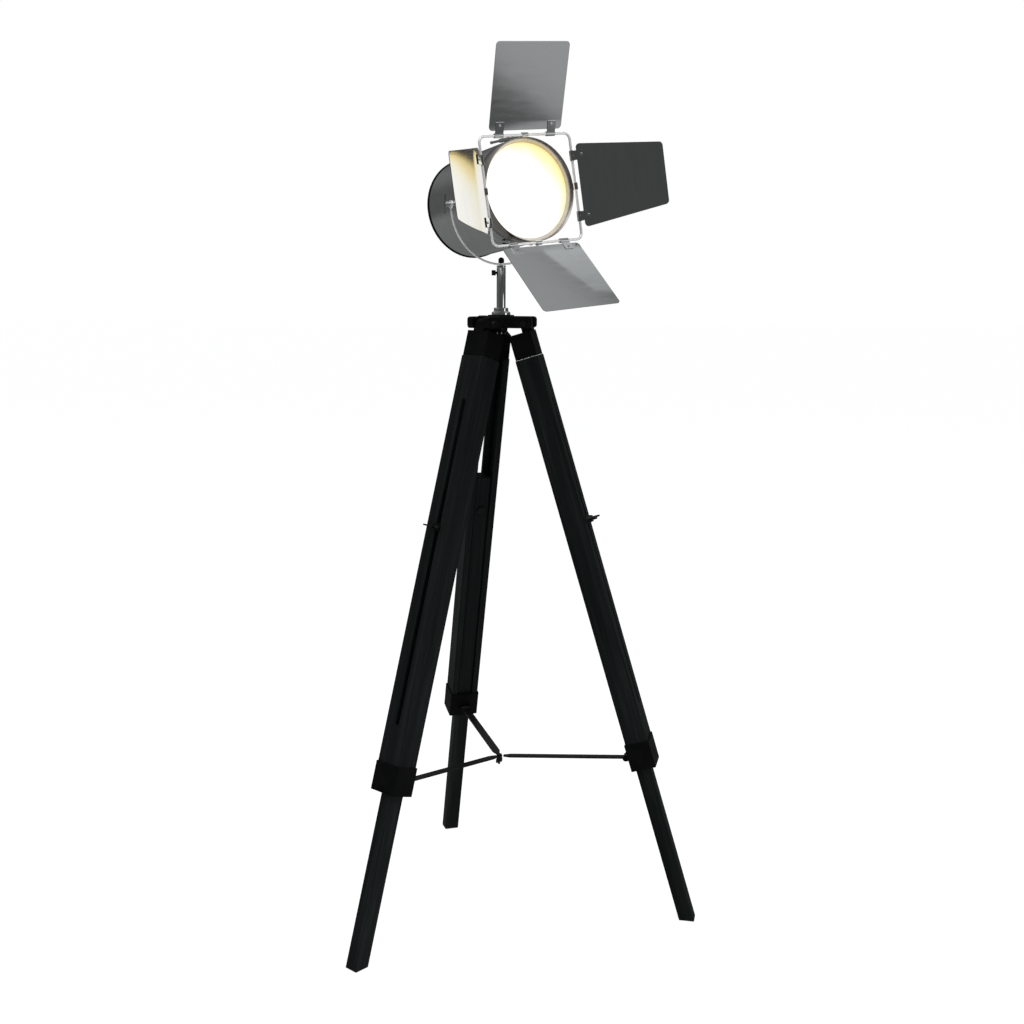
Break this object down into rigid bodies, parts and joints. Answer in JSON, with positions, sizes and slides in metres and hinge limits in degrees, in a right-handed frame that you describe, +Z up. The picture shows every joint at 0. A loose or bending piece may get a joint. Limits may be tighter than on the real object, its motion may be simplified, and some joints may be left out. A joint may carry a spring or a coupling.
{
  "type": "tripod_floor_lamp",
  "caption": "Tripod floor lamp with dark stained timber legs that slide and fold, and a chrome drum spotlight head with hinged barn doors on a tilting wire yoke",
  "frame": {"origin": "the middle of the lamp's footprint, on the floor", "axes": "+Z up the lamp, -Y towards the viewer at the front, +X to the viewer's right"},
  "size_m": [0.5643, 0.5771, 1.3962],
  "materials": {
    "stained_wood": "dark stained, satin, fine straight grain",
    "black_paint": "satin black enamel on cast or pressed metal",
    "chrome": "bright polished plating",
    "polished_door": "polished sheet, faint brushing",
    "black_steel": "black oxide steel",
    "frosted_glass": "frosted, lit warm white from behind",
    "porcelain": "glazed",
    "bulb_glass": "opal glass",
    "black_plastic": "moulded, fine matt texture"
  },
  "bodies": {
    "tripod": {"hub_casting": "black_paint", "stem_tube": "chrome", "stem_flange": "chrome", "stem_nut": "black_steel", "front_hinge_bolt": "black_steel", "right_hinge_bolt": "black_steel", "back_hinge_bolt": "black_steel"},
    "leg_front": {"front_cap": "black_plastic", "front_channel": "stained_wood", "front_collar": "black_plastic"},
    "post_front": {"front_post": "stained_wood", "front_clamp_bolt": "black_steel"},
    "wing_front": {"front_wing_nut": "black_steel"},
    "strap_front": {"front_strap": "black_steel", "spreader_hub": "black_steel"},
    "leg_right": {"right_cap": "black_plastic", "right_channel": "stained_wood", "right_collar": "black_plastic"},
    "post_right": {"right_post": "stained_wood", "right_clamp_bolt": "black_steel"},
    "wing_right": {"right_wing_nut": "black_steel"},
    "strap_right": {"right_strap": "black_steel"},
    "leg_back": {"back_cap": "black_plastic", "back_channel": "stained_wood", "back_collar": "black_plastic"},
    "post_back": {"back_post": "stained_wood", "back_clamp_bolt": "black_steel"},
    "wing_back": {"back_wing_nut": "black_steel"},
    "strap_back": {"back_strap": "black_steel"},
    "spreader_nut": {"spreader_nut": "black_steel"},
    "swivel": {"swivel_post": "chrome", "yoke": "chrome", "yoke_cap_nut": "black_steel"},
    "pan_thumbscrew": {"pan_thumbscrew": "black_steel"},
    "left_tilt_screw": {"left_tilt_screw": "chrome"},
    "right_tilt_screw": {"right_tilt_screw": "chrome"},
    "drum": {"drum_shell": "chrome", "front_bezel": "chrome", "diffuser_glass": "frosted_glass", "rear_cover": "black_paint", "cord_gland": "black_plastic", "lamp_holder": "porcelain", "bulb": "bulb_glass", "barn_frame": "chrome", "top_frame_clip": "chrome", "left_frame_clip": "chrome", "bottom_frame_clip": "chrome", "right_frame_clip": "chrome"},
    "door_top": {"top_door": "polished_door", "top_door_clip_a": "chrome", "top_door_clip_b": "chrome"},
    "door_right": {"right_door": "polished_door", "right_door_clip_a": "chrome", "right_door_clip_b": "chrome"},
    "door_bottom": {"bottom_door": "polished_door", "bottom_door_clip_a": "chrome", "bottom_door_clip_b": "chrome"},
    "door_left": {"left_door": "polished_door", "left_door_clip_a": "chrome", "left_door_clip_b": "chrome"}
  },
  "joints": [
    {"name": "front_leg_fold", "type": "hinge", "parent": "tripod", "child": "leg_front", "pos_m": [-0.07475, -0.06418, 0.979], "axis": [0.7361, -0.6769, 0], "range_deg": [0, 13.8]},
    {"name": "front_post_slide", "type": "slide", "parent": "leg_front", "child": "post_front", "axis": [-0.1956, -0.2128, -0.9573], "range_m": [-0.195, 0.305]},
    {"name": "front_wing_spin", "type": "hinge", "parent": "post_front", "child": "wing_front", "pos_m": [-0.13892, -0.13396, 0.665], "axis": [-0.648, -0.7047, 0.289], "continuous": true},
    {"name": "front_strap_fold", "type": "hinge", "parent": "leg_front", "child": "strap_front", "pos_m": [-0.19236, -0.19207, 0.27205], "axis": [0.7361, -0.6769, 0], "range_deg": [0, 76.5]},
    {"name": "right_leg_fold", "type": "hinge", "parent": "tripod", "child": "leg_right", "pos_m": [-0.00699, -0.04294, 0.979], "axis": [0.2181, 0.9759, 0], "range_deg": [0, 13.8]},
    {"name": "right_post_slide", "type": "slide", "parent": "leg_right", "child": "post_right", "axis": [0.2821, -0.0631, -0.9573], "range_m": [-0.195, 0.305]},
    {"name": "right_wing_spin", "type": "hinge", "parent": "post_right", "child": "wing_right", "pos_m": [0.08553, -0.06362, 0.665], "axis": [0.9343, -0.2088, 0.289], "continuous": true},
    {"name": "right_strap_fold", "type": "hinge", "parent": "leg_right", "child": "strap_right", "pos_m": [0.16258, -0.08085, 0.27205], "axis": [0.2181, 0.9759, 0], "range_deg": [0, 76.5]},
    {"name": "back_leg_fold", "type": "hinge", "parent": "tripod", "child": "leg_back", "pos_m": [-0.05926, 0.00512, 0.979], "axis": [-0.9542, -0.299, 0], "range_deg": [0, 13.8]},
    {"name": "back_post_slide", "type": "slide", "parent": "leg_back", "child": "post_back", "axis": [-0.0864, 0.2758, -0.9573], "range_m": [-0.195, 0.305]},
    {"name": "back_wing_spin", "type": "hinge", "parent": "post_back", "child": "wing_back", "pos_m": [-0.08761, 0.09559, 0.665], "axis": [-0.2863, 0.9135, 0.289], "continuous": true},
    {"name": "back_strap_fold", "type": "hinge", "parent": "leg_back", "child": "strap_back", "pos_m": [-0.11122, 0.17092, 0.27205], "axis": [-0.9542, -0.299, 0], "range_deg": [0, 76.5]},
    {"name": "spreader_nut_spin", "type": "hinge", "parent": "strap_front", "child": "spreader_nut", "pos_m": [-0.047, -0.034, 0.2565], "axis": [0.0489, 0.0531, 0.9974], "continuous": true},
    {"name": "pan_thumbscrew_spin", "type": "hinge", "parent": "tripod", "child": "pan_thumbscrew", "pos_m": [-0.047, -0.034, 1.058], "axis": [1, 0, 0], "continuous": true},
    {"name": "head_pan", "type": "hinge", "parent": "tripod", "child": "swivel", "pos_m": [-0.047, -0.034, 1.0705], "axis": [0, 0, 1], "range_deg": [-170, 170]},
    {"name": "left_tilt_screw_spin", "type": "hinge", "parent": "swivel", "child": "left_tilt_screw", "pos_m": [-0.1286, -0.08264, 1.1614], "axis": [0.859, 0.512, 0], "continuous": true},
    {"name": "right_tilt_screw_spin", "type": "hinge", "parent": "swivel", "child": "right_tilt_screw", "pos_m": [0.0346, 0.01464, 1.1614], "axis": [0.859, 0.512, 0], "continuous": true},
    {"name": "head_tilt", "type": "hinge", "parent": "swivel", "child": "drum", "pos_m": [-0.047, -0.034, 1.1614], "axis": [-0.859, -0.512, 0], "range_deg": [-25, 20]},
    {"name": "top_door_swing", "type": "hinge", "parent": "drum", "child": "door_top", "pos_m": [-0.0123, -0.10648, 1.2627], "axis": [0.85, 0.519, 0.09], "range_deg": [-75, 70]},
    {"name": "right_door_swing", "type": "hinge", "parent": "drum", "child": "door_right", "pos_m": [0.06728, -0.06895, 1.19023], "axis": [0.1373, -0.0534, -0.9891], "range_deg": [-75, 55.6]},
    {"name": "bottom_door_swing", "type": "hinge", "parent": "drum", "child": "door_bottom", "pos_m": [0.00984, -0.11509, 1.10326], "axis": [0.85, 0.519, 0.09], "range_deg": [-52.5, 56]},
    {"name": "left_door_swing", "type": "hinge", "parent": "drum", "child": "door_left", "pos_m": [-0.06974, -0.15262, 1.17572], "axis": [-0.1373, 0.0534, 0.9891], "range_deg": [-75, 54.3]}
  ],
  "couplings": [
    {"joint": "front_strap_fold", "follows": "front_leg_fold", "ratio": 5.5},
    {"joint": "right_strap_fold", "follows": "right_leg_fold", "ratio": 5.5},
    {"joint": "back_strap_fold", "follows": "back_leg_fold", "ratio": 5.5}
  ]
}
